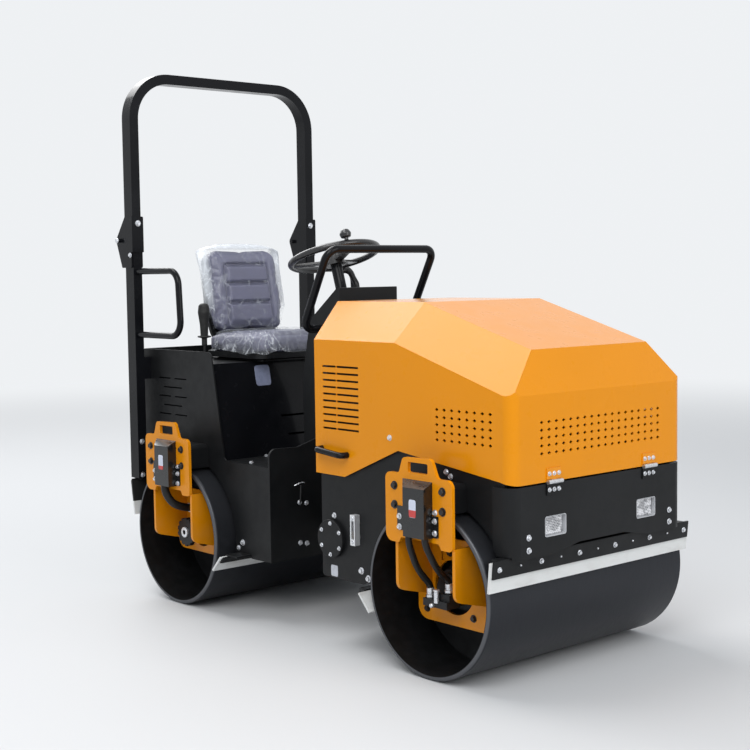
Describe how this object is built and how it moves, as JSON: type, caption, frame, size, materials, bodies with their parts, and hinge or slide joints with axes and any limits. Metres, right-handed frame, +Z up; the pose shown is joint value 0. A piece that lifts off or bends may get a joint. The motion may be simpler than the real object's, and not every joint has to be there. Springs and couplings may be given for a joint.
{
  "type": "articulated tandem road roller",
  "caption": "Small ride-on tandem road roller: smooth steel drums front and rear, tilting engine hood, centre articulation, seat, steering wheel and folding roll-over hoop.",
  "frame": {"origin": "on the ground, in the middle of the machine's length and width", "axes": "+X forward towards the hood's nose, +Y to the machine's left, +Z up"},
  "size_m": [2.184, 1.106, 2.129],
  "materials": {
    "yellow_paint": "semi-gloss",
    "frame_paint": "satin",
    "gloss_black_paint": "gloss",
    "black_plastic": "matte",
    "drum_steel": "satin",
    "drum_inside": "satin",
    "bright_steel": "zinc",
    "motor_iron": "satin",
    "rubber": "matte",
    "scraper_plastic": "matte",
    "seat_vinyl": "satin",
    "lamp_glass": "clear"
  },
  "bodies": {
    "front_frame": {"front_side_plates": "frame_paint", "front_bay": "frame_paint", "centre_pin": "bright_steel", "front_bumper": "frame_paint", "engine_block": "motor_iron", "work_lights": "black_plastic", "work_light_lenses": "lamp_glass", "front_forks": "yellow_paint", "front_fork_arms": "frame_paint", "front_drum_buffers": "rubber", "front_drum_carriers": "frame_paint", "front_drum_motors": "motor_iron", "front_hose_covers": "gloss_black_paint", "front_motor_hoses": "rubber", "front_scraper_bars": "gloss_black_paint", "front_scraper_blades": "scraper_plastic", "hood_hinge_frame_leaves": "bright_steel", "side_service_cover": "frame_paint", "oil_level_gauge": "bright_steel"},
    "hood": {"hood": "yellow_paint", "hood_handles": "gloss_black_paint", "hood_hinge_leaves": "bright_steel"},
    "front_drum": {"front_drum_shell": "drum_steel", "front_drum_heads": "drum_inside"},
    "rear_frame": {"rear_side_plates": "frame_paint", "rear_front_wall": "frame_paint", "centre_joint_yoke": "frame_paint", "rear_floor": "frame_paint", "seat_front_panel": "gloss_black_paint", "seat_deck": "frame_paint", "rear_panel": "frame_paint", "rear_drum_guard": "frame_paint", "rear_forks": "yellow_paint", "rear_fork_arms": "frame_paint", "rear_drum_buffers": "rubber", "rear_drum_carriers": "frame_paint", "rear_drum_motors": "motor_iron", "rear_hose_covers": "gloss_black_paint", "rear_motor_hoses": "rubber", "rear_scraper_bars": "gloss_black_paint", "rear_scraper_blades": "scraper_plastic", "steering_console": "black_plastic", "steering_column": "gloss_black_paint", "handrail": "gloss_black_paint", "column_cable_tube": "black_plastic", "seat_rails": "gloss_black_paint", "seat_base": "black_plastic", "seat_cushion": "seat_vinyl", "seat_backrest": "seat_vinyl", "control_lever": "black_plastic", "rops_posts": "gloss_black_paint", "grab_handle": "gloss_black_paint"},
    "rear_drum": {"rear_drum_shell": "drum_steel", "rear_drum_heads": "drum_inside"},
    "rops_hoop": {"rops_hoop": "gloss_black_paint"},
    "steering_wheel": {"steering_wheel": "black_plastic", "steering_knob": "black_plastic"}
  },
  "joints": [
    {"name": "articulation", "type": "hinge", "parent": "front_frame", "child": "rear_frame", "pos_m": [-0.018, 0, 0.399], "axis": [0, 0, 1], "range_deg": [-30, 30]},
    {"name": "front_drum_spin", "type": "hinge", "parent": "front_frame", "child": "front_drum", "pos_m": [0.755, 0, 0.28], "axis": [0, 1, 0], "continuous": true},
    {"name": "rear_drum_spin", "type": "hinge", "parent": "rear_frame", "child": "rear_drum", "pos_m": [-0.695, 0, 0.28], "axis": [0, 1, 0], "continuous": true},
    {"name": "hood_tilt", "type": "hinge", "parent": "front_frame", "child": "hood", "pos_m": [1.085, 0, 0.651], "axis": [0, 1, 0], "range_deg": [0, 60]},
    {"name": "rops_fold", "type": "hinge", "parent": "rear_frame", "child": "rops_hoop", "pos_m": [-1.063, 0, 1.449], "axis": [0, -1, 0], "range_deg": [0, 95]},
    {"name": "steering_wheel_turn", "type": "hinge", "parent": "rear_frame", "child": "steering_wheel", "pos_m": [-0.258, 0, 1.361], "axis": [-0.3007, 0, 0.9537], "continuous": true}
  ]
}
